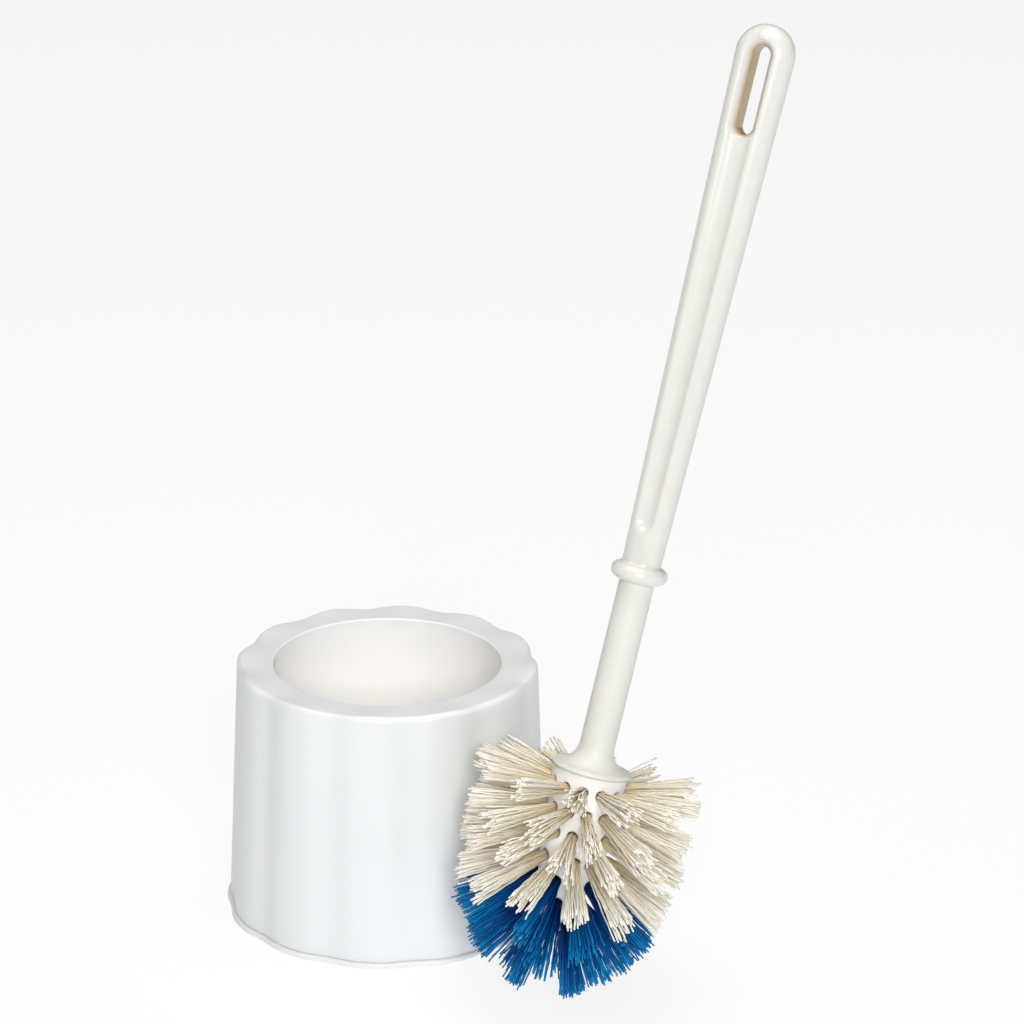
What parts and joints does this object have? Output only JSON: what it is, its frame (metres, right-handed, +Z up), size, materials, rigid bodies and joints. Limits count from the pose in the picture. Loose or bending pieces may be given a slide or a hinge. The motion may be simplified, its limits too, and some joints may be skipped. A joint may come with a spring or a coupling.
{
  "type": "toilet brush and holder",
  "caption": "Scalloped round holder with a flat rim and a round cup, and a toilet brush with a looped handle and a two-colour tufted head standing beside it.",
  "frame": {"origin": "centre of the holder's flat underside, on the surface that the set stands on", "axes": "+Z up along the holder's axis, -Y towards the front, +X to the right; the brush stands at the front right"},
  "size_m": [0.2177, 0.1889, 0.3678],
  "materials": {
    "holder_plastic": "semi-gloss cool white moulded plastic",
    "liner_plastic": "semi-gloss warm white moulded plastic",
    "handle_plastic": "glossy ivory moulded plastic",
    "core_plastic": "satin white moulded plastic",
    "bristle_cream": "satin cream filaments",
    "bristle_blue": "satin blue filaments",
    "anchor_wire": "plain flat wire"
  },
  "bodies": {
    "holder": {"base_plate": "holder_plastic", "outer_shell": "holder_plastic", "cup_liner": "liner_plastic"},
    "brush": {"grip": "handle_plastic", "stem": "handle_plastic", "head_core": "core_plastic", "tufts_row_1": "bristle_cream", "tufts_row_2": "bristle_cream", "tufts_row_3": "bristle_cream", "tufts_row_4": "bristle_cream", "tufts_row_5": "bristle_blue", "tufts_row_6": "bristle_blue", "tufts_row_7": "bristle_blue", "anchors_row_1": "anchor_wire", "anchors_row_2": "anchor_wire", "anchors_row_3": "anchor_wire", "anchors_row_4": "anchor_wire", "anchors_row_5": "anchor_wire", "anchors_row_6": "anchor_wire", "anchors_row_7": "anchor_wire"}
  },
  "joints": [
    {"name": "brush_lift", "type": "slide", "parent": "holder", "child": "brush", "axis": [0, 0, 1], "range_m": [0, 0.15]}
  ]
}
